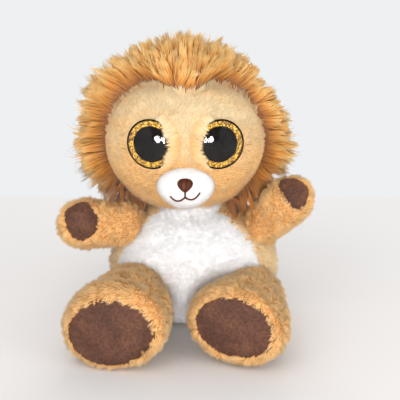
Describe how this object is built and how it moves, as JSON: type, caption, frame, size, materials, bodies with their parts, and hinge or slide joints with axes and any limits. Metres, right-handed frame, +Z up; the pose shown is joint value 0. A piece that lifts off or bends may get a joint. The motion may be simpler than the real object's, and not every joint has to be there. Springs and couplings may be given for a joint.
{
  "type": "stuffed animal",
  "caption": "Seated soft plush lion with a long-pile mane, big glossy eyes, white belly and muzzle, brown paw and foot pads, and limbs and head that bend at their seams.",
  "frame": {"origin": "middle of the flat seat under the torso", "axes": "the toy faces -Y, its left hand is at +X, +Z is up"},
  "size_m": [0.2164, 0.2049, 0.2488],
  "materials": {
    "plush": "short plush pile",
    "face": "short plush pile",
    "mane": "long plush pile",
    "white": "short plush pile",
    "muzzle": "smooth velour",
    "pad": "smooth short-nap velour",
    "thread": "satin-stitched thread",
    "black": "glossy",
    "glitter": "metallic glitter lacquer",
    "clear": "clear moulded plastic, glossy",
    "nylon": "satin",
    "fibre": "loose polyester fibre",
    "pouch": "woven pouch"
  },
  "bodies": {
    "torso": {"torso_cover": "plush", "belly_panel": "white", "torso_fill": "fibre", "seat_bean_pouch": "pouch"},
    "neck": {"neck_fill": "fibre"},
    "head": {"face_panel": "face", "mane_hood": "mane", "head_fill": "fibre", "muzzle_cover": "muzzle", "muzzle_fill": "fibre", "nose": "thread", "mouth_stitching": "thread", "eye_back_left": "black", "eye_glitter_ring_left": "glitter", "eye_pupil_left": "black", "eye_lens_left": "clear", "eye_washer_left": "nylon", "eye_back_right": "black", "eye_glitter_ring_right": "glitter", "eye_pupil_right": "black", "eye_lens_right": "clear", "eye_washer_right": "nylon"},
    "arm_left": {"arm_cover_left": "plush", "arm_fill_left": "fibre", "palm_pad_left": "pad"},
    "arm_right": {"arm_cover_right": "plush", "arm_fill_right": "fibre", "palm_pad_right": "pad"},
    "leg_left": {"leg_cover_left": "plush", "leg_fill_left": "fibre", "sole_pad_left": "pad"},
    "leg_right": {"leg_cover_right": "plush", "leg_fill_right": "fibre", "sole_pad_right": "pad"},
    "tail": {"tail_cover": "plush", "tail_tuft": "mane"}
  },
  "joints": [
    {"name": "head_turn", "type": "hinge", "parent": "torso", "child": "neck", "pos_m": [-0.0035, 0, 0.107], "axis": [0, 0, 1], "range_deg": [-25, 25], "stiffness_Nm_per_rad": 0.3},
    {"name": "head_nod", "type": "hinge", "parent": "neck", "child": "head", "pos_m": [-0.0035, 0, 0.107], "axis": [1, 0, 0], "range_deg": [-7, 8], "stiffness_Nm_per_rad": 0.6},
    {"name": "arm_left_raise", "type": "hinge", "parent": "torso", "child": "arm_left", "pos_m": [0.06038, -0.01505, 0.08739], "axis": [-0.5299, -0.848, 0], "range_deg": [-49, 0], "stiffness_Nm_per_rad": 0.12},
    {"name": "arm_right_raise", "type": "hinge", "parent": "torso", "child": "arm_right", "pos_m": [-0.06038, -0.01505, 0.08739], "axis": [-0.454, 0.891, 0], "range_deg": [-12, 37], "stiffness_Nm_per_rad": 0.12},
    {"name": "leg_left_lift", "type": "hinge", "parent": "torso", "child": "leg_left", "pos_m": [0.05, -0.05362, 0.03307], "axis": [-0.9511, 0.309, 0], "range_deg": [0, 25], "stiffness_Nm_per_rad": 0.3},
    {"name": "leg_right_lift", "type": "hinge", "parent": "torso", "child": "leg_right", "pos_m": [-0.05, -0.05362, 0.03307], "axis": [-0.9781, 0.2079, 0], "range_deg": [0, 25], "stiffness_Nm_per_rad": 0.3},
    {"name": "tail_lift", "type": "hinge", "parent": "torso", "child": "tail", "pos_m": [0, 0.05353, 0.02372], "axis": [1, 0, 0], "range_deg": [0, 40], "stiffness_Nm_per_rad": 0.02}
  ]
}
